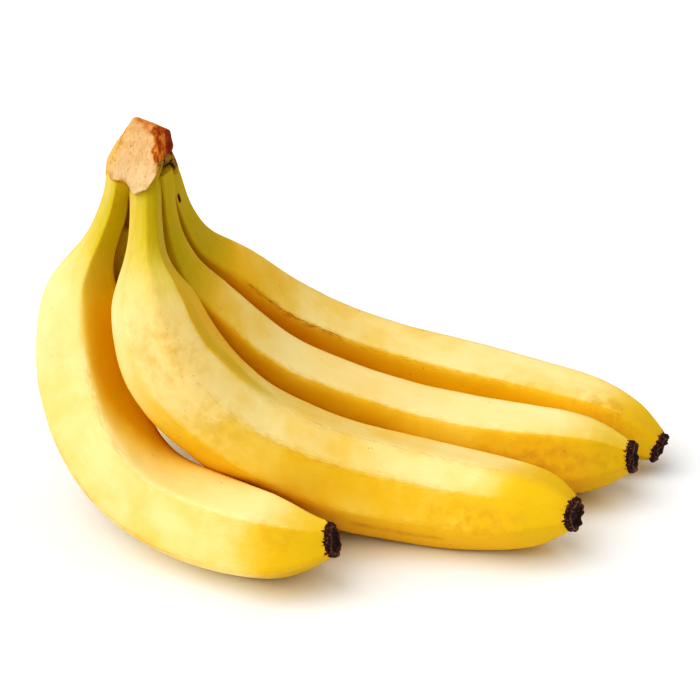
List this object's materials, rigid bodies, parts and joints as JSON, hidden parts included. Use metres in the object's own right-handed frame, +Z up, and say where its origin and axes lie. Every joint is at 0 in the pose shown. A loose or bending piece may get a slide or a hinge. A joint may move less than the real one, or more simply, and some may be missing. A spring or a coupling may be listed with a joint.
{
  "type": "bunch of bananas",
  "caption": "Bunch of ripe bananas lying on its side: curved, ridged yellow fingers joined by green necks at a cut crown, with dark dried flower ends.",
  "frame": {"origin": "middle of the footprint, on the surface the bunch lies on", "axes": "+X from the crown towards the flower ends, the longest extent; +Z up; -Y is the side the picture shows"},
  "size_m": [0.2134, 0.1596, 0.1376],
  "materials": {
    "banana_skin": "satin, smooth waxy yellow peel, green at the necks",
    "crown_cut": "matt, dry pale cut with a brown dried edge",
    "flower_end": "matt, black-brown and rough"
  },
  "bodies": {
    "root": {"crown": "crown_cut", "finger_front_left": "banana_skin", "finger_front": "banana_skin", "finger_middle": "banana_skin", "finger_back": "banana_skin", "finger_rear_low": "banana_skin", "flower_end_front_left": "flower_end", "flower_end_front": "flower_end", "flower_end_middle": "flower_end", "flower_end_back": "flower_end", "flower_end_rear_low": "flower_end"}
  },
  "joints": []
}
